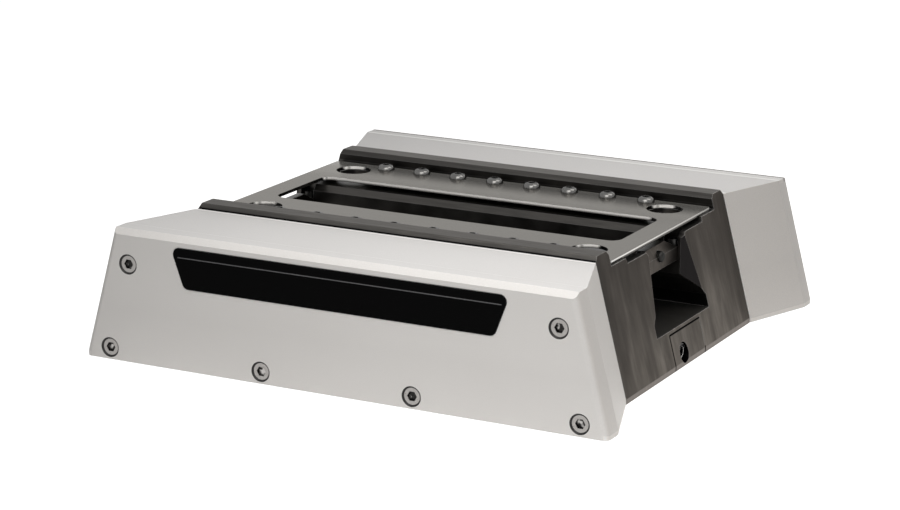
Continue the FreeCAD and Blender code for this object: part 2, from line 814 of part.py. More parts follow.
def cover_blank(label):
    """Cover plate before its holes: rounded end corners, bevelled top edge."""
    blank = body(label)
    outline = sketch(blank, "XZ_Plane", "cover_knee")
    cover_outline(outline, COVER_HALF, COVER_HEIGHT)
    pad(blank, outline, "cover_plate_thick")
    doc.recompute()
    face = -size("cover_face")
    middle = size("body_half_len") / 2

    def at_end(edge):
        box = edge.BoundBox
        on_face = abs(box.YMin - face) < 0.01 and abs(box.YMax - face) < 0.01
        return on_face and abs(box.Center.x) > middle and box.XLength < box.ZLength
    soften(blank, "Fillet", "Radius", "cover_corner", at_end)
    bevel = sketch(blank, "YZ_Plane")
    polygon(bevel, [("-cover_face", BEVEL_FOOT), ("-cover_face", COVER_HEIGHT),
                    ("-(cover_face - cover_bevel_width)", COVER_HEIGHT)])
    pocket(blank, bevel, f"2 * {COVER_HALF}", SideType="Symmetric")
    return blank


def countersink(label, x, z):
    """What one countersunk screw takes out of the cover plate."""
    cone = doc.addObject("Part::Cone", label + "_cone")
    bind(cone, "Radius1", "face_screw_opening / 2 + 1")
    bind(cone, "Radius2", "face_screw_dia * clearance_share / 2")
    bind(cone, "Height", "face_screw_opening / 2 + 1 - face_screw_dia * clearance_share / 2")
    cone.Placement.Rotation = Rotation(Vector(0, 0, 1), Vector(0, 1, 0))
    bore = doc.addObject("Part::Cylinder", label + "_bore")
    bind(bore, "Radius", "face_screw_dia * clearance_share / 2")
    bind(bore, "Height", "cover_plate_thick + 2")
    bore.Placement.Rotation = Rotation(Vector(0, 0, 1), Vector(0, 1, 0))
    for item in (cone, bore):
        bind(item, "Placement.Base.x", x)
        bind(item, "Placement.Base.y", "-(cover_face + 1)")
        bind(item, "Placement.Base.z", z)
    return [cone, bore]


def label_body(label, thickness, grow):
    """Plate with slanted ends and rounded corners, let into the front cover."""
    plate = body(label)
    outline = sketch(plate, "XZ_Plane", "cover_face - label_sink")
    polygon(outline, both_sides([
        (f"label_low_half + {grow}", f"{LABEL_LOW} - {grow}"),
        (f"label_top_half + {grow}", f"{LABEL_TOP} + {grow}")]))
    pad(plate, outline, thickness)
    soften(plate, "Fillet", "Radius", f"label_corner + {grow}", along(Vector(0, 1, 0)))
    return plate


def cover_plates():
    tools = []
    for index, (x, z) in enumerate(FACE_SCREWS, start=1):
        tools += countersink(f"countersink_{index}", x, z)
    sinks = doc.addObject("Part::MultiFuse", "countersinks")
    sinks.Shapes = tools
    plain = cut("cover_plate_plain", cover_blank("cover_plate_blank"), sinks)
    recess = label_body("label_recess", "label_sink + 1", "label_gap")
    front = cut("cover_plate_front", plain, recess)
    return [front, mirrored("cover_plate_back", plain, "y")]


def face_screws():
    screws = []
    for index, (x, z) in enumerate(FACE_SCREWS, start=1):
        screws.append(place(countersunk_screw(f"face_screw_{index}"), x,
                            f"-(cover_face - {FACE_SCREW_SINK})", z, POINT_AT_FRONT))
    front = group("cover_plate_screws_front", screws)
    return [front, mirrored("cover_plate_screws_back", front, "y")]


def web_screws():
    screws = []
    for index, (x, z) in enumerate(WEB_SCREWS, start=1):
        screw = cap_screw(f"web_screw_{index}", "web_screw",
                          "web_thick + gasket_thick + screw_grip", dressed=False)
        screws.append(place(screw, x, f"-{WEB_FACE}", z, POINT_AT_FRONT))
    front = group("cover_frame_screws_front", screws)
    return [front, mirrored("cover_frame_screws_back", front, "y")]


def gasket():
    """Soft ring between a cover frame and the side of the base."""
    ring = body("cover_gasket_front")
    outer = sketch(ring, "XZ_Plane", "body_half_width")
    edge = "(body_half_len - gasket_inset)"
    polygon(outer, both_sides([
        (edge, "gasket_inset"), (edge, "foot_height"),
        (half_length(f"({COVER_HEIGHT} - gasket_inset)", edge), f"{COVER_HEIGHT} - gasket_inset")]))
    pad(ring, outer, "gasket_thick")
    window = sketch(ring, "XZ_Plane", "body_half_width")
    inner = "(body_half_len - gasket_inset - gasket_width)"
    low = "gasket_inset + gasket_width"
    high = f"({COVER_HEIGHT} - gasket_inset - gasket_width)"
    polygon(window, both_sides([(inner, low), (half_length(high, inner), high)]))
    pocket(ring, window, "gasket_thick", Reversed=True)
    return [ring, mirrored("cover_gasket_back", ring, "y")]


# Straight stretches in one turn of a spring, which nothing shows
SPRING_FACETS = 20

# Locking cylinders, modelled at the front right and mirrored to the other three places

def barrel():
    block = body("cylinder_barrel_front_right")
    outline = sketch(block, "XZ_Plane", "body_half_width")
    half = "barrel_size / 2"
    rectangle(outline, (f"lock_x - {half}", f"lock_z - {half}"),
              (f"lock_x + {half}", f"lock_z + {half}"))
    pad(block, outline, BARREL_LENGTH)
    bore = sketch(block, "XZ_Plane", "body_half_width")
    circle(bore, ("lock_x", "lock_z"), "barrel_bore / 2")
    cylinder_holes(bore)
    pocket(block, bore, BARREL_LENGTH, Reversed=True)
    return block


def cylinder_holes(target):
    for lean in ("+", "-"):
        for rise in ("+", "-"):
            circle(target, (f"lock_x {lean} cylinder_screw_spread",
                            f"lock_z {rise} cylinder_screw_spread"),
                   "cylinder_screw_dia * clearance_share / 2")


def cylinder_cap():
    cap = body("cylinder_cap_front_right")
    outline = sketch(cap, "XZ_Plane", BARREL_END)
    half = "barrel_size / 2"
    rectangle(outline, (f"lock_x - {half}", f"lock_z - {half}"),
              (f"lock_x + {half}", f"lock_z + {half}"))
    pad(cap, outline, "cap_thick")
    spigot = sketch(cap, "XZ_Plane", BARREL_END)
    circle(spigot, ("lock_x", "lock_z"), "barrel_bore / 2 - piston_fit")
    pad(cap, spigot, "cap_spigot", Reversed=True)
    holes = sketch(cap, "XZ_Plane", BARREL_END)
    cylinder_holes(holes)
    pocket(cap, holes, "cap_thick", Reversed=True)
    vent = sketch(cap, "XZ_Plane", CAP_FACE)
    circle(vent, ("lock_x", "lock_z"), "vent_dia / 2")
    pocket(cap, vent, "cap_thick + cap_spigot")
    return cap


def rod_bush():
    bush = body("rod_bush_front_right")
    ring = sketch(bush, "XZ_Plane", BUSH_START)
    circle(ring, ("lock_x", "lock_z"), "bush_dia / 2")
    circle(ring, ("lock_x", "lock_z"), "rod_dia / 2 + rod_fit")
    pad(bush, ring, "bush_length")
    return bush


def rod_seal():
    seal = body("rod_seal_front_right")
    ring = sketch(seal, "XZ_Plane", SEAL_START)
    circle(ring, ("lock_x", "lock_z"), "bush_dia / 2")
    circle(ring, ("lock_x", "lock_z"), "rod_dia / 2 + rod_fit")
    pad(seal, ring, "rod_seal_length")
    return seal


def lock_piston():
    """Rod with a conical nose in the channel and a grooved piston in the barrel."""
    piston = body("lock_piston_front_right")
    outline = sketch(piston, "XZ_Plane")
    reach = f"({PISTON_END} - lock_tip)"
    back = f"({reach} - piston_thick)"
    groove = f"({reach} - (piston_thick + piston_seal_width) / 2)"
    full = "(barrel_bore / 2 - piston_fit)"
    root = f"({full} - piston_seal_wall)"
    polygon(outline, [
        ("0", "0"), ("rod_nose_dia / 2", "0"), ("rod_dia / 2", "rod_nose_length"),
        ("rod_dia / 2", back), (full, back), (full, groove), (root, groove),
        (root, f"{groove} + piston_seal_width"), (full, f"{groove} + piston_seal_width"),
        (full, reach), ("0", reach)])
    revolve(piston, outline)
    place(piston, "lock_x", "-lock_tip", "lock_z", POINT_AT_FRONT)
    return piston


def piston_seal():
    seal = body("piston_seal_front_right")
    ring = sketch(seal, "XZ_Plane", f"{PISTON_END} - (piston_thick + piston_seal_width) / 2")
    full = "(barrel_bore / 2 - piston_fit)"
    circle(ring, ("lock_x", "lock_z"), full)
    circle(ring, ("lock_x", "lock_z"), f"{full} - piston_seal_wall")
    pad(seal, ring, "piston_seal_width")
    return seal


def lock_spring():
    """Compression spring of flat wire between the piston and the cap."""
    spring = doc.addObject("Part::Feature", "lock_spring_front_right")
    spring.Label = "lock_spring_front_right"
    width = size("spring_wire_width")
    height = size("spring_wire_height")
    turns = size("spring_turns")
    rise = size("lock_stroke") + size("spring_packed") - height - 2 * size("spring_end_gap")
    outer = size("spring_dia") / 2
    steps = int(turns * SPRING_FACETS)
    sections = []
    for index in range(steps + 1):
        angle = 2 * math.pi * index / SPRING_FACETS
        outward = Vector(math.cos(angle), math.sin(angle), 0)
        level = rise * index / steps
        corners = [outward * radius + Vector(0, 0, z) for radius, z in (
            (outer - width, level), (outer, level),
            (outer, level + height), (outer - width, level + height))]
        sections.append(Part.makePolygon(corners + corners[:1]))
    spring.Shape = Part.makeLoft(sections, True, True)
    place(spring, "lock_x", f"-({PISTON_END} + spring_end_gap)", "lock_z", POINT_AT_FRONT)
    return spring


def cylinder_screws():
    screws = []
    for lean in ("+", "-"):
        for rise in ("+", "-"):
            number = len(screws) + 1
            screw = cap_screw(f"cylinder_screw_{number}", "cylinder_screw",
                              f"{CAP_FACE} - body_half_width + screw_grip", dressed=False)
            screws.append(place(screw, f"lock_x {lean} cylinder_screw_spread", f"-{CAP_FACE}",
                                f"lock_z {rise} cylinder_screw_spread", POINT_AT_FRONT))
    one = group("cylinder_screws_one", screws)
    front = group("cylinder_screws_front", [one, mirrored("cylinder_screws_two", one, "x")])
    return [front, mirrored("cylinder_screws_back", front, "y")]


def at_four_places(front_right):
    """The piece at the front right with its mirror images at the other cylinders."""
    stem = front_right.Label.replace("_front_right", "")
    front_left = mirrored(stem + "_front_left", front_right, "x")
    back_right = mirrored(stem + "_back_right", front_right, "y")
    return [front_right, front_left, back_right,
            mirrored(stem + "_back_left", back_right, "x")]


# The whole chuck

nodes = [base_body(), top_plate(), *plate_screws(), mounting_screws(), *bridge_bar(),
         bar_screws(), stop_studs(), *key_block(), key_screws(), port_seals(),
         *cover_frame(), *cover_plates(), *face_screws(), *web_screws(), *gasket(),
         label_body("label_plate", "label_thick", "0"), *cylinder_screws(),
         four_corners("rod_seals", rod_seal())]
for piece in (barrel(), cylinder_cap(), rod_bush(), lock_piston(), piston_seal(),
              lock_spring()):
    nodes += at_four_places(piece)

doc.recompute()
for item in doc.Objects:
    if "Invalid" in item.State or "Error" in item.State:
        raise RuntimeError(f"{item.Label} failed: {item.State}")
for node in nodes:
    if node.Shape.isNull() or not node.Shape.isValid() or not node.Shape.Solids:
        raise RuntimeError(f"{node.Label} has no valid shape")

os.makedirs("parts", exist_ok=True)
for node in nodes:
    node.Shape.exportStep(f"parts/{node.Label}.step")
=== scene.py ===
"""Looks of a pneumatic zero-point chuck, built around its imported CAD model."""

import math

import bpy
from mathutils import Matrix, Vector


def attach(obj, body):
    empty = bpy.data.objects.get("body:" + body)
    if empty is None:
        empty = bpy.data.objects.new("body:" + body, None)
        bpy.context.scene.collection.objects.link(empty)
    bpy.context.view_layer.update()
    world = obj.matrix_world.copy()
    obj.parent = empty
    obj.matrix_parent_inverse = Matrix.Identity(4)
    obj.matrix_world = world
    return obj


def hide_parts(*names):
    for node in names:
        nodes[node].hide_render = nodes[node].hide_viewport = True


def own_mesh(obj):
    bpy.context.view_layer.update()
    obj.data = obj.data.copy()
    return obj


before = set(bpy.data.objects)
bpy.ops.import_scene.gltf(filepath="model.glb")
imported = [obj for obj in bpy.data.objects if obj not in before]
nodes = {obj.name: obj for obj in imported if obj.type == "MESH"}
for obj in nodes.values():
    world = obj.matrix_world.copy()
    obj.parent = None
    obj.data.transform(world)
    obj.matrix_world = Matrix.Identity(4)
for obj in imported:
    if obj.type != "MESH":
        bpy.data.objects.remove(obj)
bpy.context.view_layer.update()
scene = bpy.context.scene

MM = 0.001

# Camera, from the perspective of the photograph. Angles are in degrees, lengths and shifts in
# millimetres, the focal length in pixels and the end of the view in metres.
YAW = 26.899
PITCH = 14.558
ROLL = 0.61
SHIFT_RIGHT = -7.761
SHIFT_UP = 42.967
DISTANCE = 1631.536
FOCAL_PIXELS = 2750.083
FRAME_WIDTH = 900
SENSOR = 36.0
VIEW_END = 50


def make_camera():
    yaw, pitch, roll = (math.radians(a) for a in (YAW, PITCH, ROLL))
    back = Vector((math.sin(yaw) * math.cos(pitch), -math.cos(yaw) * math.cos(pitch),
                   math.sin(pitch)))
    level = Vector((math.cos(yaw), math.sin(yaw), 0))
    upward = back.cross(level)
    right = math.cos(roll) * level + math.sin(roll) * upward
    top = math.cos(roll) * upward - math.sin(roll) * level
    place = (back * DISTANCE + right * SHIFT_RIGHT + top * SHIFT_UP) * MM
    data = bpy.data.cameras.new("camera")
    data.lens = FOCAL_PIXELS * SENSOR / FRAME_WIDTH
    data.sensor_width = SENSOR
    data.clip_end = VIEW_END
    camera = bpy.data.objects.new("camera", data)
    turn = Matrix((right, top, back)).transposed()
    camera.matrix_world = Matrix.Translation(place) @ turn.to_4x4()
    scene.collection.objects.link(camera)
    scene.camera = camera


# Light and surroundings, in metres and watts

WHITE = (1, 1, 1, 1)
AMBIENT = (0.95, 0.97, 1.0, 1)
AMBIENT_LEVEL = 0.01
FLOOR_COLOUR = (0.82, 0.82, 0.82, 1)
FLOOR_GLOW = 0.94
FLOOR_HALF = 6.0
FLOOR_GAP = 0.0002


def background_rays(tree):
    """1 for the rays that show the background: direct, mirrored and passed through glass."""
    path = tree.nodes.new("ShaderNodeLightPath")
    result = path.outputs["Is Camera Ray"]
    for kind in ("Is Glossy Ray", "Is Transmission Ray"):
        either = tree.nodes.new("ShaderNodeMath")
        either.operation = "MAXIMUM"
        tree.links.new(result, either.inputs[0])
        tree.links.new(path.outputs[kind], either.inputs[1])
        result = either.outputs[0]
    return result


def make_world():
    world = bpy.data.worlds.new("studio")
    world.use_nodes = True
    tree = world.node_tree
    tree.nodes.clear()
    ambient = tree.nodes.new("ShaderNodeBackground")
    ambient.inputs["Color"].default_value = AMBIENT
    ambient.inputs["Strength"].default_value = AMBIENT_LEVEL
    shown = tree.nodes.new("ShaderNodeBackground")
    shown.inputs["Color"].default_value = WHITE
    shown.inputs["Strength"].default_value = 1
    mix = tree.nodes.new("ShaderNodeMixShader")
    out = tree.nodes.new("ShaderNodeOutputWorld")
    tree.links.new(background_rays(tree), mix.inputs[0])
    tree.links.new(ambient.outputs[0], mix.inputs[1])
    tree.links.new(shown.outputs[0], mix.inputs[2])
    tree.links.new(mix.outputs[0], out.inputs["Surface"])
    scene.world = world


def make_floor():
    half = FLOOR_HALF
    mesh = bpy.data.meshes.new("floor")
    mesh.from_pydata([(-half, -half, 0), (half, -half, 0), (half, half, 0), (-half, half, 0)],
                     [], [(0, 1, 2, 3)])
    floor = bpy.data.objects.new("floor", mesh)
    scene.collection.objects.link(floor)
    floor.location.z = -FLOOR_GAP
    material = bpy.data.materials.new("floor")
    material.use_nodes = True
    tree = material.node_tree
    tree.nodes.clear()
    diffuse = tree.nodes.new("ShaderNodeBsdfDiffuse")
    diffuse.inputs["Color"].default_value = FLOOR_COLOUR
    glow = tree.nodes.new("ShaderNodeEmission")
    glow.inputs["Color"].default_value = WHITE
    level = tree.nodes.new("ShaderNodeMath")
    level.operation = "MULTIPLY"
    level.inputs[1].default_value = FLOOR_GLOW
    add = tree.nodes.new("ShaderNodeAddShader")
    out = tree.nodes.new("ShaderNodeOutputMaterial")
    tree.links.new(background_rays(tree), level.inputs[0])
    tree.links.new(level.outputs[0], glow.inputs["Strength"])
    tree.links.new(diffuse.outputs[0], add.inputs[0])
    tree.links.new(glow.outputs[0], add.inputs[1])
    tree.links.new(add.outputs[0], out.inputs["Surface"])
    mesh.materials.append(material)


LAMP_COLOUR = (1, 0.985, 0.96)
LAMP_AIM = (0, -0.05, 0.05)
# Each lamp's place, power and width.
LAMPS = {
    "key_softbox": ((0.167, -0.377, 0.538), 2.75, 0.45),
    "top_softbox": ((0.361, 0.196, 0.742), 1.9, 0.45),
    "front_softbox": ((0.183, -1.27, 0.46), 1.2, 0.45),
    "back_softbox": ((0.25, 1.5, 0.42), 4.0, 0.8),
}


def make_lamps():
    for name, (place, power, width) in LAMPS.items():
        data = bpy.data.lights.new(name, "AREA")
        data.shape = "SQUARE"
        data.size = width
        data.energy = power
        data.color = LAMP_COLOUR
        lamp = bpy.data.objects.new(name, data)
        lamp.location = place
        lamp.rotation_euler = (Vector(LAMP_AIM) - Vector(place)).to_track_quat("-Z", "Y").to_euler()
        scene.collection.objects.link(lamp)


# Materials. Noise is given in periods per metre, and levels and marks in millimetres. Both are
# laid out in the part's own coordinates. A tone is a colour, and a mask is 1 inside and 0 outside.

# The range that most of a noise pattern lies in.
NOISE_RANGE = (0.3, 0.7)
EDGE_SAMPLES = 6
# How far a rounded edge turns away before it has the full edge tone.
EDGE_TURN = 0.1


def new_material(name, colour, metallic, roughness):
    material = bpy.data.materials.new(name)
    material.use_nodes = True
    tree = material.node_tree
    shader = tree.nodes["Principled BSDF"]
    shader.inputs["Base Color"].default_value = (*colour, 1)
    shader.inputs["Metallic"].default_value = metallic
    shader.inputs["Roughness"].default_value = roughness
    return material, tree, shader


def coordinates(tree, stretch):
    """Object coordinates, multiplied along each axis."""
    source = tree.nodes.new("ShaderNodeTexCoord")
    scale = tree.nodes.new("ShaderNodeVectorMath")
    scale.operation = "MULTIPLY"
    scale.inputs[1].default_value = stretch
    tree.links.new(source.outputs["Object"], scale.inputs[0])
    return scale.outputs[0]


def noise(tree, stretch, detail=2.0, rough=0.5):
    texture = tree.nodes.new("ShaderNodeTexNoise")
    texture.inputs["Scale"].default_value = 1
    texture.inputs["Detail"].default_value = detail
    texture.inputs["Roughness"].default_value = rough
    tree.links.new(coordinates(tree, stretch), texture.inputs["Vector"])
    return texture.outputs["Fac"]


def ramp(tree, value, stops):
    node = tree.nodes.new("ShaderNodeValToRGB")
    elements = node.color_ramp.elements
    while len(elements) < len(stops):
        elements.new(0.5)
    for element, (place, colour) in zip(elements, stops):
        element.position = place
        element.color = (*colour, 1)
    tree.links.new(value, node.inputs["Fac"])
    return node.outputs["Color"]


def spread(tree, value, low, high, start=0.0, end=1.0):
    """A value that goes from low to high as the given one goes from start to end."""
    node = tree.nodes.new("ShaderNodeMapRange")
    node.inputs["From Min"].default_value = start
    node.inputs["From Max"].default_value = end
    node.inputs["To Min"].default_value = low
    node.inputs["To Max"].default_value = high
    tree.links.new(value, node.inputs["Value"])
    return node.outputs["Result"]


def combine(tree, kind, factor, first, second):
    node = tree.nodes.new("ShaderNodeMix")
    node.data_type = "RGBA"
    node.blend_type = kind
    if isinstance(factor, (int, float)):
        node.inputs["Factor"].default_value = factor
    else:
        tree.links.new(factor, node.inputs["Factor"])
    for value, socket in ((first, node.inputs["A"]), (second, node.inputs["B"])):
        if isinstance(value, tuple):
            socket.default_value = (*value, 1)
        else:
            tree.links.new(value, socket)
    return node.outputs["Result"]


def painted(tree, mask, tone, colour):
    """The tone, with the colour in its place inside the mask."""
    return combine(tree, "MIX", mask, tone, colour)


def shaded(tree, tone, factor, mask=1.0):
    """The tone, multiplied by the factor inside the mask."""
    return combine(tree, "MULTIPLY", mask, tone, factor)


def arithmetic(tree, kind, first, second=0.0):
    node = tree.nodes.new("ShaderNodeMath")
    node.operation = kind
    for value, socket in ((first, node.inputs[0]), (second, node.inputs[1])):
        if isinstance(value, (int, float)):
            socket.default_value = value
        else:
            tree.links.new(value, socket)
    return node.outputs[0]


def times(tree, first, second):
    return arithmetic(tree, "MULTIPLY", first, second)


def larger(tree, first, second):
    return arithmetic(tree, "MAXIMUM", first, second)


def above(tree, value, level):
    return arithmetic(tree, "GREATER_THAN", value, level)


def below(tree, value, level):
    return arithmetic(tree, "LESS_THAN", value, level)


def unsigned(tree, value):
    """The value without its sign."""
    return arithmetic(tree, "ABSOLUTE", value)


def band(tree, value, middle, half, soft):
    """1 within half of the middle value, fading to 0 over the soft width."""
    off = unsigned(tree, arithmetic(tree, "SUBTRACT", value, middle))
    return spread(tree, off, 1, 0, half, half + soft)


def split(tree, vector):
    node = tree.nodes.new("ShaderNodeSeparateXYZ")
    tree.links.new(vector, node.inputs[0])
    return node.outputs


def position(tree):
    """Object coordinates as three numbers, in millimetres."""
    return split(tree, coordinates(tree, (1 / MM, 1 / MM, 1 / MM)))


def facing(tree):
    """The surface's direction as three numbers."""
    return split(tree, tree.nodes.new("ShaderNodeNewGeometry").outputs["Normal"])


def distance(tree, place, **axes):
    """How far the point with the given axes lies from the place."""
    spot = tree.nodes.new("ShaderNodeCombineXYZ")
    for axis, value in axes.items():
        tree.links.new(value, spot.inputs[axis])
    away = tree.nodes.new("ShaderNodeVectorMath")
    away.operation = "DISTANCE"
    away.inputs[1].default_value = place
    tree.links.new(spot.outputs[0], away.inputs[0])
    return away.outputs["Value"]


def rounded(tree, radius):
    """A normal that rounds sharp edges over, as broken edges are."""
    node = tree.nodes.new("ShaderNodeBevel")
    node.samples = EDGE_SAMPLES
    node.inputs["Radius"].default_value = radius
    return node.outputs["Normal"]


def edge_share(tree, normal, full):
    """0 on flat places, rising to 1 where a rounded edge turns away by the given share."""
    geometry = tree.nodes.new("ShaderNodeNewGeometry")
    dot = tree.nodes.new("ShaderNodeVectorMath")
    dot.operation = "DOT_PRODUCT"
    tree.links.new(geometry.outputs["Normal"], dot.inputs[0])
    tree.links.new(normal, dot.inputs[1])
    return spread(tree, dot.outputs["Value"], 1, 0, 1 - full, 1.0)


def bumped(tree, shader, height, strength, depth, normal):
    node = tree.nodes.new("ShaderNodeBump")
    node.inputs["Strength"].default_value = strength
    node.inputs["Distance"].default_value = depth
    tree.links.new(height, node.inputs["Height"])
    tree.links.new(normal, node.inputs["Normal"])
    tree.links.new(node.outputs["Normal"], shader.inputs["Normal"])


# Covers

COVER_SCREWS = ((133.0, 57.1), (146.1, 6.95), (47.0, 6.95))
COVER_SCREW_RECESS = 5.9
COVER_SCREW_BLUR = 0.1
COVER_PLATE_START = 150.0
COVER_BLUR = 0.5
RECESS_SHADE_TONE = (0.012, 0.011, 0.011)

TOP_LEVEL = 75.0
INNER_EDGE = 95.5
BACK_KNEE = 142.0
BACK_KNEE_HALF = 1.0
BACK_KNEE_BLUR = 0.4
BACK_EDGE = 148.9
COVER_LEFT = -150.0
COVER_FOOT = 2.8
LOWER_FACE = (0, 30)
UPPER_FACE = (40, 70)

# Directions between which a face counts as sloping, level, an end or turned to the end.
COVER_SLOPING = (0.3, 0.6)
COVER_LEVEL = (0.85, 0.95)
COVER_END = (0.6, 0.9)
COVER_TURNED = (0.2, 0.4)

COVER_SPECULAR = 0.3
COVER_EDGE_RADIUS = 0.7
COVER_EDGE_TURN = 0.12
COVER_ROUGHNESS = (0.44, 0.56)
COVER_BUMP = (0.12, 0.05 * MM)
COVER_GRAIN = (2600, 2600, 2600)
COVER_CLOUDS = (9, 9, 14)
COVER_TONES = ((0.72, 0.703, 0.688), (0.775, 0.76, 0.747))
COVER_EDGE_HIGHLIGHT = (0.93, 0.92, 0.91)
GRAIN_GAIN = (0.95, 1.05)
LOWER_FACE_LIGHT = (1.12, 1)
UPPER_FACE_SHADE = (1, 0.95)
LEFT_SHADE = (0.9, 1)
SLOPE_LIGHT = (1.21, 1.21, 1.21)
FLAT_SHADE = (0.835, 0.84, 0.85)
END_SHADE = (0.91, 0.895, 0.88)
FOOT_LIGHT = (1.25, 1.25, 1.25)
INNER_EDGE_HIGHLIGHT = (1.3, 1.3, 1.3)
STRIP_LIGHT = (1.08, 1.08, 1.08)
BACK_KNEE_HIGHLIGHT = (1, 1, 0.99)
BACK_EDGE_SHADE = (0.3, 0.29, 0.28)


def screw_recess_shade(tree):
    """1 in the rings of painted shade in the countersinks around the cover screws, and 0 elsewhere."""
    x, y, z = position(tree)
    nearest = None
    for across, up in COVER_SCREWS:
        away = distance(tree, (across, 0, up), X=unsigned(tree, x), Z=z)
        nearest = away if nearest is None else arithmetic(tree, "MINIMUM", nearest, away)
    ring = spread(tree, nearest, 1, 0, COVER_SCREW_RECESS - COVER_SCREW_BLUR, COVER_SCREW_RECESS)
    outside = spread(tree, unsigned(tree, y), 0, 1, COVER_PLATE_START - COVER_BLUR,
                     COVER_PLATE_START)
    return times(tree, ring, outside)


def inner_edge(tree):
    """1 on the narrow edge beside the rails, on top of the covers, where a highlight is painted, and 0
    elsewhere.
    """
    _, y, z = position(tree)
    near = spread(tree, unsigned(tree, y), 1, 0, INNER_EDGE, INNER_EDGE + COVER_BLUR)
    return times(tree, near, above(tree, z, TOP_LEVEL))


def back_marks(tree):
    """Masks for the painted highlight at the knee on top of the back cover, the painted light on the
    strip behind it and the painted shade along its back edge.
    """
    _, y, z = position(tree)
    on_top = above(tree, z, TOP_LEVEL)
    knee_highlight = band(tree, y, BACK_KNEE, BACK_KNEE_HALF, BACK_KNEE_BLUR)
    strip = above(tree, y, BACK_KNEE)
    edge = above(tree, y, BACK_EDGE)
    return [times(tree, mark, on_top) for mark in (knee_highlight, strip, edge)]


def silver_cover():
    material, tree, shader = new_material("silver_cover", COVER_TONES[0], 0.0, COVER_ROUGHNESS[0])
    shader.inputs["Specular IOR Level"].default_value = COVER_SPECULAR
    normal = rounded(tree, COVER_EDGE_RADIUS * MM)
    grain = noise(tree, COVER_GRAIN, 1.0)
    x, _, height = position(tree)
    along, _, upward = facing(tree)
    outward = unsigned(tree, along)
    sloping = spread(tree, upward, 0, 1, *COVER_SLOPING)
    flat = spread(tree, upward, 0, 1, *COVER_LEVEL)
    end = spread(tree, outward, 0, 1, *COVER_END)

    tone = painted(tree, noise(tree, COVER_CLOUDS, 2.0), *COVER_TONES)
    tone = shaded(tree, tone, spread(tree, grain, *GRAIN_GAIN, *NOISE_RANGE))
    # Painted highlight along the rounded edges.
    tone = painted(tree, edge_share(tree, normal, COVER_EDGE_TURN), tone, COVER_EDGE_HIGHLIGHT)
    # Painted light low on the faces, thrown up from the floor, and painted shade high on them.
    tone = shaded(tree, tone, spread(tree, height, *LOWER_FACE_LIGHT, *LOWER_FACE))
    tone = shaded(tree, tone, spread(tree, height, *UPPER_FACE_SHADE, *UPPER_FACE))
    # Painted light on the sloping faces and painted shade on the level ones, as the lamps fall on
    # them.
    tone = shaded(tree, tone, SLOPE_LIGHT, sloping)
    tone = shaded(tree, tone, FLAT_SHADE, flat)
    # Painted shade on the sloping faces towards the left end.
    left = spread(tree, x, *LEFT_SHADE, COVER_LEFT, COVER_LEFT / 3)
    tone = shaded(tree, tone, left, sloping)
    # Painted shade on the end faces.
    tone = shaded(tree, tone, END_SHADE, end)
    # Painted light at the foot of the faces turned towards the ends.
    foot = times(tree, spread(tree, height, 1, 0, COVER_FOOT - COVER_BLUR, COVER_FOOT),
                 spread(tree, outward, 0, 1, *COVER_TURNED))
    tone = shaded(tree, tone, FOOT_LIGHT, foot)
    # Painted highlight along the inner edge of each cover's top.
    tone = shaded(tree, tone, INNER_EDGE_HIGHLIGHT, times(tree, inner_edge(tree), sloping))
    knee_highlight, strip, edge = back_marks(tree)
    # Painted light on the back cover's strip, a painted highlight at its knee and painted shade along
    # its back edge.
    tone = shaded(tree, tone, STRIP_LIGHT, strip)
    tone = painted(tree, times(tree, knee_highlight, sloping), tone, BACK_KNEE_HIGHLIGHT)
    tone = painted(tree, edge, tone, BACK_EDGE_SHADE)
    # Painted shade in the countersink gaps around the cover screws.
    tone = painted(tree, screw_recess_shade(tree), tone, RECESS_SHADE_TONE)

    tree.links.new(tone, shader.inputs["Base Color"])
    roughness = spread(tree, grain, *COVER_ROUGHNESS, *NOISE_RANGE)
    tree.links.new(roughness, shader.inputs["Roughness"])
    bumped(tree, shader, grain, *COVER_BUMP, normal)
    return material


# Base

FOOT = 3.0
FOOT_BLUR = 0.15
SHADE_TOP = 52.0
KEY_HALF = 22.15
KEY_TOP = 20.3
KEY_END = 138.0
KEY_JOINT_HALF = 0.35
KEY_BACK_JOINT_TOP = 4.0
KEY_SCREW = (0, -7.6, 7.5)
KEY_BORE_RADIUS = 5.9
KEY_BORE_BLUR = 0.15

RAIL_LEVEL = 74.0
RAIL_BEVEL = 77.0
RAIL_JOINT = 77.8
RAIL_HEIGHT = 80.0
RAIL_MIDDLE = 80.0
RAIL_SHOULDER = 89.2
RAIL_EDGE = 91.0
RAIL_LEFT = -145.0
CHANNEL_FLOOR = 25.0
CHANNEL_MOUTH = (100, 145)
UNDERCUT_ROOF = 40.0
END_SIDES = (74, 92)
END_TOP = (45, 76)

# Directions between which a face counts as an end, level, a rail's side, the roof's underside,
# a corner at the end, or a bevel.
STEEL_END = (0.5, 0.8)
STEEL_LEVEL = (0.9, 0.97)
RAIL_SIDE = (-0.98, -0.85)
UNDERCUT_SIDE = (-0.9, -0.6)
CORNER_SIDE = (-0.6, -0.3)
CORNER_END = (0.3, 0.5)
BEVEL_RISE = (0.5, 0.65)
BEVEL_FALL = (0.75, 0.9)

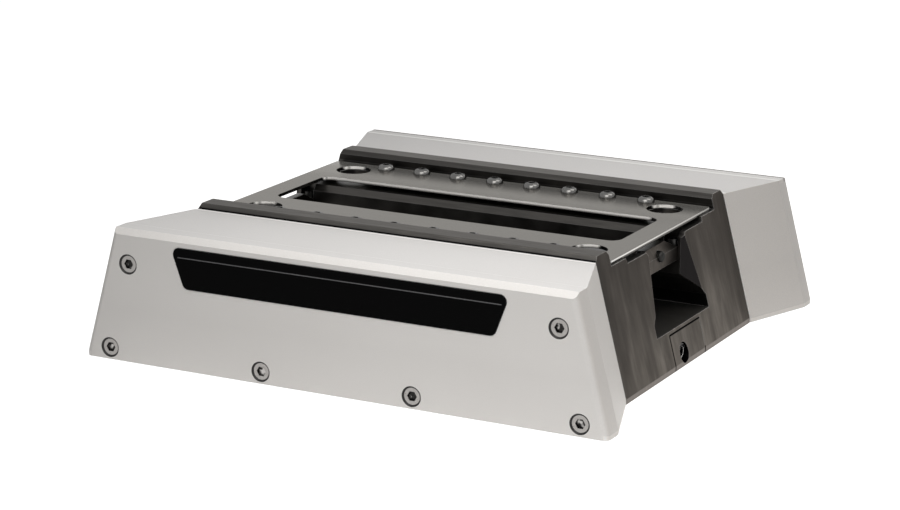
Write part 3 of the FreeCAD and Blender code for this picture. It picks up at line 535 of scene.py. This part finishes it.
STEEL_EDGE_RADIUS = 0.55
STEEL_ROUGHNESS = (0.28, 0.42)
STEEL_BUMP = (0.12, 0.03 * MM)
STEEL_STREAKS = (12, 70, 9)
STEEL_BLOTCHES = (45, 95, 30)
STEEL_CLOUDS = (22, 30, 22)
STEEL_LINES = (60, 1600, 60)
DULL_TONES = ((0.032, 0.0305, 0.029), (0.062, 0.058, 0.0535))
GROUND_STOPS = (
    (0.3, (0.0078, 0.0071, 0.0063)),
    (0.5, (0.0192, 0.0176, 0.0154)),
    (0.7, (0.042, 0.0385, 0.0343)),
)
GROUND_GRAZING = (0.76, 0.72, 0.69)
BLOTCH_RANGE = (0.35, 0.65)
BLOTCH_GAIN = (0.62, 1.38)
END_SIDES_SHADE = (1, 0.55)
END_TOP_SHADE = (1.08, 0.7)
LINES_GAIN = (0.86, 1.12)
SHADE_GAIN = (2.6, 1)
CHANNEL_SHADE = (0.25, 0.9)
RAIL_BACK_LIGHT = (1, 1.25)
RAIL_BEVEL_LIGHT = (1.15, 1.7)
RAIL_LEFT_SHADE = (0.72, 1)
RAIL_SIDE_SHADE = (0.38, 0.37, 0.36)
RAIL_TOP_SHADE = (0.75, 0.735, 0.715)
UNDERCUT_SHADE_TONE = (0.005, 0.005, 0.005)
UNDERCUT_GRAZING = (0.15, 0.15, 0.15)
FOOT_REFLECTION_TONE = (0.118, 0.11, 0.103)
EDGE_HIGHLIGHTS = ((0.1, 0.098, 0.096), (0.21, 0.205, 0.197))
CORNER_SHADE_TONE = (0.012, 0.011, 0.011)
CORNER_GRAZING = (0.3, 0.3, 0.3)
GAP_SHADE_TONE = (0.004, 0.004, 0.004)
NO_GRAZING = (0, 0, 0)
FULL_GRAZING = (1, 1, 1)


def key_joint_shade(tree):
    """1 along the joints beside and above the key blocks, at the ends of the base, where shade is
    painted into them.
    """
    x, y, z = position(tree)
    half, blur = KEY_JOINT_HALF, KEY_JOINT_HALF
    beside = band(tree, unsigned(tree, y), KEY_HALF, half, blur)
    limit = spread(tree, below(tree, y, 0), KEY_BACK_JOINT_TOP, KEY_TOP)
    sides = times(tree, beside, below(tree, z, limit))
    top = times(tree, band(tree, z, KEY_TOP, half, blur), below(tree, unsigned(tree, y), KEY_HALF))
    end = above(tree, unsigned(tree, x), KEY_END)
    return times(tree, larger(tree, sides, top), end)


def key_bore_shade(tree):
    """1 inside the bores of the key blocks, where shade is painted, and 0 elsewhere."""
    _, y, z = position(tree)
    away = distance(tree, KEY_SCREW, Y=y, Z=z)
    return spread(tree, away, 1, 0, KEY_BORE_RADIUS, KEY_BORE_RADIUS + KEY_BORE_BLUR)


def rail_joint_shade(tree, outward):
    """1 on the line of painted shade in the gap between a rail and its cover, except at the ends."""
    _, y, z = position(tree)
    line = times(tree, above(tree, z, RAIL_LEVEL), below(tree, z, RAIL_JOINT))
    line = times(tree, line, above(tree, unsigned(tree, y), RAIL_EDGE))
    return times(tree, line, spread(tree, outward, 1, 0, *CORNER_END))


def rail_bevel(tree, upward):
    """1 on the outer bevels of the rails and 0 elsewhere."""
    _, y, z = position(tree)
    inside = times(tree, above(tree, unsigned(tree, y), RAIL_SHOULDER), above(tree, z, RAIL_BEVEL))
    sloping = times(tree, spread(tree, upward, 0, 1, *BEVEL_RISE),
                    spread(tree, upward, 1, 0, *BEVEL_FALL))
    return times(tree, inside, sloping)


def ground_steel(tree):
    """The streaked and blotched tone of the ground end faces, with painted shade at their sides beside
    the covers and towards their top.
    """
    _, y, height = position(tree)
    tone = ramp(tree, noise(tree, STEEL_STREAKS, 3.0, 0.6), GROUND_STOPS)
    blotches = noise(tree, STEEL_BLOTCHES, 3.0, 0.6)
    tone = shaded(tree, tone, spread(tree, blotches, *BLOTCH_GAIN, *BLOTCH_RANGE))
    tone = shaded(tree, tone, spread(tree, unsigned(tree, y), *END_SIDES_SHADE, *END_SIDES))
    return shaded(tree, tone, spread(tree, height, *END_TOP_SHADE, *END_TOP))


def dark_steel():
    material, tree, shader = new_material("dark_steel", DULL_TONES[0], 0.9, STEEL_ROUGHNESS[0])
    normal = rounded(tree, STEEL_EDGE_RADIUS * MM)
    lines = noise(tree, STEEL_LINES, 2.0, 0.6)
    x, y, height = position(tree)
    along, across, upward = facing(tree)
    outward = unsigned(tree, along)
    end_face = spread(tree, outward, 0, 1, *STEEL_END)
    level_face = spread(tree, upward, 0, 1, *STEEL_LEVEL)

    dull = painted(tree, noise(tree, STEEL_CLOUDS, 3.0), *DULL_TONES)
    tone = painted(tree, end_face, dull, ground_steel(tree))
    grazing = painted(tree, end_face, FULL_GRAZING, GROUND_GRAZING)
    tone = shaded(tree, tone, spread(tree, lines, *LINES_GAIN, *NOISE_RANGE))

    # Painted shade on the sides and tops of the rails, with the tops' reflection dimmed, painted light
    # on the tops growing towards the back and on the bevels rising with height, and painted shade
    # towards the left end.
    rail = above(tree, height, RAIL_LEVEL)
    rail_top = times(tree, rail, level_face)
    rail_side = times(tree, rail, spread(tree, across, 1, 0, *RAIL_SIDE))
    tone = shaded(tree, tone, RAIL_SIDE_SHADE, rail_side)
    tone = shaded(tree, tone, RAIL_TOP_SHADE, rail_top)
    back = spread(tree, y, *RAIL_BACK_LIGHT, -RAIL_MIDDLE, RAIL_MIDDLE)
    tone = shaded(tree, tone, back, rail_top)
    grazing = shaded(tree, grazing, RAIL_TOP_SHADE, rail_top)
    rising = spread(tree, height, *RAIL_BEVEL_LIGHT, RAIL_JOINT, RAIL_HEIGHT)
    tone = shaded(tree, tone, rising, rail_bevel(tree, upward))
    left = spread(tree, x, *RAIL_LEFT_SHADE, RAIL_LEFT, RAIL_LEFT / 4)
    tone = shaded(tree, tone, left, rail)

    # Painted shade on the channel floor, deepest inwards and lifting towards the mouths.
    floor = times(tree, below(tree, height, CHANNEL_FLOOR), level_face)
    mouth = spread(tree, unsigned(tree, x), *CHANNEL_SHADE, *CHANNEL_MOUTH)
    tone = shaded(tree, tone, mouth, floor)
    # Painted shade on the faces under the roof of the undercut, with their reflection dimmed.
    undercut = times(tree, below(tree, height, UNDERCUT_ROOF),
                     spread(tree, across, 1, 0, *UNDERCUT_SIDE))
    tone = painted(tree, undercut, tone, UNDERCUT_SHADE_TONE)
    grazing = shaded(tree, grazing, UNDERCUT_GRAZING, undercut)

    tone = shaded(tree, tone, spread(tree, height, *SHADE_GAIN, FOOT, SHADE_TOP))
    # Painted reflection of the bright floor on the foot band.
    foot = spread(tree, height, 1, 0, FOOT - FOOT_BLUR, FOOT + FOOT_BLUR)
    tone = painted(tree, foot, tone, FOOT_REFLECTION_TONE)
    # Painted highlight along the rounded edges, stronger on the end faces.
    edge_tone = painted(tree, end_face, *EDGE_HIGHLIGHTS)
    tone = painted(tree, edge_share(tree, normal, EDGE_TURN), tone, edge_tone)
    # Painted shade on the faces turned between the front and the ends, with their reflection dimmed.
    corner = times(tree, spread(tree, outward, 0, 1, *CORNER_END),
                   spread(tree, across, 1, 0, *CORNER_SIDE))
    tone = painted(tree, corner, tone, CORNER_SHADE_TONE)
    grazing = painted(tree, corner, grazing, CORNER_GRAZING)
    # Painted shade in the joints beside the key blocks, in their bores and in the gaps between rails
    # and covers, with their reflection taken out.
    gap_shade = larger(tree, key_joint_shade(tree), key_bore_shade(tree))
    gap_shade = larger(tree, gap_shade, rail_joint_shade(tree, outward))
    tone = painted(tree, gap_shade, tone, GAP_SHADE_TONE)
    grazing = painted(tree, gap_shade, grazing, NO_GRAZING)

    tree.links.new(grazing, shader.inputs["Specular Tint"])
    tree.links.new(tone, shader.inputs["Base Color"])
    roughness = spread(tree, lines, *STEEL_ROUGHNESS, *NOISE_RANGE)
    tree.links.new(roughness, shader.inputs["Roughness"])
    bumped(tree, shader, lines, *STEEL_BUMP, normal)
    return material


# Plate

PLATE_END = 118.0
PLATE_END_FADE = 60.0
PLATE_RIM = 72.35
PLATE_RIM_BLUR = 0.1
PLATE_HOLES = 50.0
HOLE_RIM_RISE = 0.8
WINDOW_RIM = (71.2, 72.5)
BACK_STRIP = (32, 44)
SCREW_STRIP = (55, 74)
DULL_STRIP = (56, 72)
# The level direction that the lit walls of the window and holes face.
LIT_SIDE = (0.45, -0.89)

# Directions between which a face counts as a wall, or as turned to the lit side.
PLATE_WALL = (0.6, 0.8)
PLATE_LIT = (0.72, 0.86)

PLATE_EDGE_RADIUS = 0.25
PLATE_ROUGHNESS = (0.25, 0.27)
PLATE_BUMP = (0.006, 0.01 * MM)
PLATE_LINES = (60, 900, 200)
PLATE_CLOUDS = (14, 30, 14)
PLATE_TONES = ((0.117, 0.114, 0.108), (0.137, 0.134, 0.127))
PLATE_GRAZING = (0.84, 0.82, 0.79)
BACK_STRIP_REFLECTION = (1, 1.45)
SCREW_STRIP_REFLECTION = (1, 1.45)
DULL_STRIP_SHARE = (0, 0.55)
PLATE_WALL_SHADE = (0.03, 0.03, 0.03)
END_RIM_HIGHLIGHTS = ((0.6, 0.592, 0.578), (0.3, 0.295, 0.287))
INNER_RIM_HIGHLIGHT = (1, 0.985, 0.96)


def stainless_plate():
    material, tree, shader = new_material("stainless_plate", PLATE_TONES[0], 1.0,
                                          PLATE_ROUGHNESS[0])
    shader.inputs["Specular Tint"].default_value = (*PLATE_GRAZING, 1)
    normal = rounded(tree, PLATE_EDGE_RADIUS * MM)
    lines = noise(tree, PLATE_LINES, 2.0, 0.6)
    x, y, z = position(tree)
    along, across, _ = facing(tree)

    tone = painted(tree, noise(tree, PLATE_CLOUDS, 2.0), *PLATE_TONES)
    # Painted reflection, lighter towards the back of the plate in two steps.
    tone = shaded(tree, tone, spread(tree, y, *BACK_STRIP_REFLECTION, *BACK_STRIP))
    tone = shaded(tree, tone, spread(tree, y, *SCREW_STRIP_REFLECTION, *SCREW_STRIP))

    # Painted shade on the walls of the window, holes and ends, with painted highlights along their lit
    # rims.
    side = spread(tree, larger(tree, unsigned(tree, along), unsigned(tree, across)), 0, 1, *PLATE_WALL)
    turned = arithmetic(tree, "ADD", times(tree, along, LIT_SIDE[0]),
                        times(tree, across, LIT_SIDE[1]))
    front = spread(tree, turned, 0, 1, *PLATE_LIT)
    end = above(tree, unsigned(tree, x), PLATE_END)
    hole = above(tree, unsigned(tree, y), PLATE_HOLES)
    window = times(tree, front, arithmetic(tree, "SUBTRACT", 1, hole))

    raised = times(tree, times(tree, hole, front), HOLE_RIM_RISE)
    level = arithmetic(tree, "ADD", z, raised)
    rim = spread(tree, level, 0, 1, PLATE_RIM - PLATE_RIM_BLUR, PLATE_RIM + PLATE_RIM_BLUR)
    rim = larger(tree, rim, times(tree, window, spread(tree, z, 0, 1, *WINDOW_RIM)))
    lit = times(tree, larger(tree, end, front), rim)
    fading = spread(tree, y, 0, 1, -PLATE_END_FADE, PLATE_END_FADE)
    rim_highlight = painted(tree, end, INNER_RIM_HIGHLIGHT, painted(tree, fading, *END_RIM_HIGHLIGHTS))
    tone = painted(tree, side, tone, painted(tree, lit, PLATE_WALL_SHADE, rim_highlight))

    # The lit rims are made non-metallic, so that their painted highlight shows from every side; a
    # strip towards the back is made partly matt.
    matt_strip_and_lit_rim = times(tree, front, times(tree, side, rim))
    matt_strip_and_lit_rim = larger(tree, matt_strip_and_lit_rim, spread(tree, y, *DULL_STRIP_SHARE, *DULL_STRIP))
    tree.links.new(tone, shader.inputs["Base Color"])
    tree.links.new(spread(tree, matt_strip_and_lit_rim, 1, 0), shader.inputs["Metallic"])
    roughness = spread(tree, lines, *PLATE_ROUGHNESS, *NOISE_RANGE)
    tree.links.new(roughness, shader.inputs["Roughness"])
    bumped(tree, shader, lines, *PLATE_BUMP, normal)
    return material


# Screws and other small pieces

METAL_CLOUDS = (500, 500, 500)
METAL_BUMP = (0.05, 0.02 * MM)
# How far the roughness of plain metal varies around the given one.
METAL_VARIATION = (0.8, 1.25)


def plain_metal(name, low, high, metallic, roughness, radius, rim=None, grazing=1.0):
    material, tree, shader = new_material(name, high, metallic, roughness)
    shader.inputs["Specular Tint"].default_value = (grazing, grazing, grazing, 1)
    normal = rounded(tree, radius)
    clouds = noise(tree, METAL_CLOUDS, 3.0)
    tone = painted(tree, clouds, low, high)
    # The rim colour is a painted highlight along the rounded edges.
    if rim:
        tone = painted(tree, edge_share(tree, normal, EDGE_TURN), tone, rim)
    tree.links.new(tone, shader.inputs["Base Color"])
    smooth, rough = (roughness * share for share in METAL_VARIATION)
    tree.links.new(spread(tree, clouds, smooth, rough, *NOISE_RANGE), shader.inputs["Roughness"])
    bumped(tree, shader, clouds, *METAL_BUMP, normal)
    return material


SOCKET_LEVEL = 154.0
SOCKET_FLOOR = 152.6
SOCKET_BLUR = 0.3
SOCKET_GLINTS = (330, 330, 330)
GLINT_RANGE = (0.5, 0.62)
FACE_SCREW_RADIUS = 0.3
FACE_SCREW_ROUGHNESS = (0.24, 0.36)
FACE_SCREW_TONES = ((0.2, 0.19, 0.183), (0.3, 0.29, 0.28))
FACE_SCREW_EDGE_SHADE = (0.02, 0.02, 0.02)
SOCKET_SHADE_TONE = (0.005, 0.005, 0.005)
SOCKET_FLOOR_SHADE_AND_GLINTS = ((0.018, 0.0175, 0.017), (0.34, 0.33, 0.32))
FACE_SCREW_GRAZING = (0.85, 0.85, 0.85)
SOCKET_GRAZING = (0.2, 0.2, 0.2)


def face_screw_steel():
    material, tree, shader = new_material("face_screw_steel", FACE_SCREW_TONES[1], 1.0,
                                          FACE_SCREW_ROUGHNESS[0])
    normal = rounded(tree, FACE_SCREW_RADIUS * MM)
    clouds = noise(tree, METAL_CLOUDS, 3.0)
    _, y, _ = position(tree)
    depth = unsigned(tree, y)
    # Painted shade in the hex sockets, with painted glints on their floors and their reflection
    # dimmed.
    deep = spread(tree, depth, 1, 0, SOCKET_LEVEL - SOCKET_BLUR, SOCKET_LEVEL)
    floor = spread(tree, depth, 1, 0, SOCKET_FLOOR, SOCKET_FLOOR + SOCKET_BLUR)
    glint = spread(tree, noise(tree, SOCKET_GLINTS, 1.0), 0, 1, *GLINT_RANGE)
    floor_tone = painted(tree, glint, *SOCKET_FLOOR_SHADE_AND_GLINTS)
    tone = painted(tree, clouds, *FACE_SCREW_TONES)
    tone = painted(tree, deep, tone, painted(tree, floor, SOCKET_SHADE_TONE, floor_tone))
    # Painted shade along the rounded edges.
    tone = painted(tree, edge_share(tree, normal, EDGE_TURN), tone, FACE_SCREW_EDGE_SHADE)
    grazing = painted(tree, deep, FACE_SCREW_GRAZING, SOCKET_GRAZING)
    tree.links.new(tone, shader.inputs["Base Color"])
    roughness = spread(tree, clouds, *FACE_SCREW_ROUGHNESS, *NOISE_RANGE)
    tree.links.new(roughness, shader.inputs["Roughness"])
    tree.links.new(grazing, shader.inputs["Specular Tint"])
    bumped(tree, shader, clouds, *METAL_BUMP, normal)
    return material


RULE_LEVEL = 65.4
RULE_HALF = 0.22
RULE_BLUR = 0.15
RULE_END = 100.0
LABEL_ROUGHNESS = 0.16
LABEL_SPECULAR = 0.02
LABEL_EDGE_RADIUS = 0.25
LABEL_TONE = (0.0009, 0.0009, 0.001)
RULE_TONE = (0.12, 0.12, 0.125)
LABEL_EDGE_HIGHLIGHT = (0.3, 0.3, 0.3)


def black_label():
    material, tree, shader = new_material("black_label", LABEL_TONE, 0.0, LABEL_ROUGHNESS)
    shader.inputs["Specular IOR Level"].default_value = LABEL_SPECULAR
    x, _, height = position(tree)
    rule = times(tree, band(tree, height, RULE_LEVEL, RULE_HALF, RULE_BLUR),
                 below(tree, unsigned(tree, x), RULE_END))
    tone = painted(tree, rule, LABEL_TONE, RULE_TONE)
    # Painted highlight along the rounded edges.
    edge = edge_share(tree, rounded(tree, LABEL_EDGE_RADIUS * MM), EDGE_TURN)
    tone = painted(tree, edge, tone, LABEL_EDGE_HIGHLIGHT)
    tree.links.new(tone, shader.inputs["Base Color"])
    return material


MATERIALS = {
    "silver_cover": silver_cover(),
    "dark_steel": dark_steel(),
    "stainless_plate": stainless_plate(),
    "bright_screw": plain_metal("bright_screw", (0.36, 0.35, 0.34), (0.48, 0.47, 0.45), 1.0, 0.22,
                                0.2 * MM),
    "black_screw": plain_metal("black_screw", (0.02, 0.02, 0.02), (0.045, 0.043, 0.042), 0.7, 0.4,
                               0.2 * MM),
    "black_label": black_label(),
    "black_rubber": plain_metal("black_rubber", (0.012, 0.012, 0.012), (0.02, 0.02, 0.02), 0.0,
                                0.7, 0.2 * MM),
    "bronze": plain_metal("bronze", (0.42, 0.25, 0.1), (0.5, 0.32, 0.15), 1.0, 0.35, 0.3 * MM),
    "hard_steel": plain_metal("hard_steel", (0.42, 0.41, 0.4), (0.52, 0.51, 0.5), 1.0, 0.22,
                              0.3 * MM),
    "face_screw_steel": face_screw_steel(),
    "button_steel": plain_metal("button_steel", (0.1, 0.098, 0.095), (0.16, 0.157, 0.152), 1.0,
                                0.24, 0.2 * MM, grazing=0.7),
    "pin_steel": plain_metal("pin_steel", (0.022, 0.022, 0.021), (0.036, 0.035, 0.034), 1.0, 0.5,
                             0.2 * MM, grazing=0.6),
    "bar_screw_steel": plain_metal("bar_screw_steel", (0.03, 0.03, 0.029), (0.05, 0.049, 0.047),
                                   1.0, 0.4, 0.2 * MM, grazing=0.5),
    # The key screws carry a painted highlight along their edges.
    "key_screw_steel": plain_metal("key_screw_steel", (0.008, 0.008, 0.008), (0.014, 0.014, 0.014),
                                   1.0, 0.35, 0.4 * MM, (0.55, 0.54, 0.53), 0.55),
}
# Nodes that look different from the rest of their CAD material.
SPECIAL = {
    "plate_screws_front": "button_steel",
    "plate_screws_back": "button_steel",
    "stop_studs": "pin_steel",
    "key_block_screws": "key_screw_steel",
    "bridge_bar_screws": "bar_screw_steel",
    "cover_plate_screws_front": "face_screw_steel",
    "cover_plate_screws_back": "face_screw_steel",
}


def dress_nodes():
    for name, node in nodes.items():
        for slot in node.material_slots:
            plain = slot.material.name.split(".")[0]
            slot.material = MATERIALS[SPECIAL.get(name, plain)]


def make_springs():
    """Copies of the lock springs, attached to the chuck in place of the hidden originals, each with
    its own mesh.
    """
    for name, node in nodes.items():
        if not name.startswith("lock_spring_"):
            continue
        corner = name.removeprefix("lock_spring_")
        spring = bpy.data.objects.new("coil_" + corner, node.data.copy())
        spring.matrix_world = node.matrix_world.copy()
        scene.collection.objects.link(spring)
        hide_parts(name)
        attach(spring, "chuck")
        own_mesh(spring)


make_camera()
make_world()
make_floor()
make_lamps()
dress_nodes()
make_springs()

scene.view_settings.view_transform = "Standard"
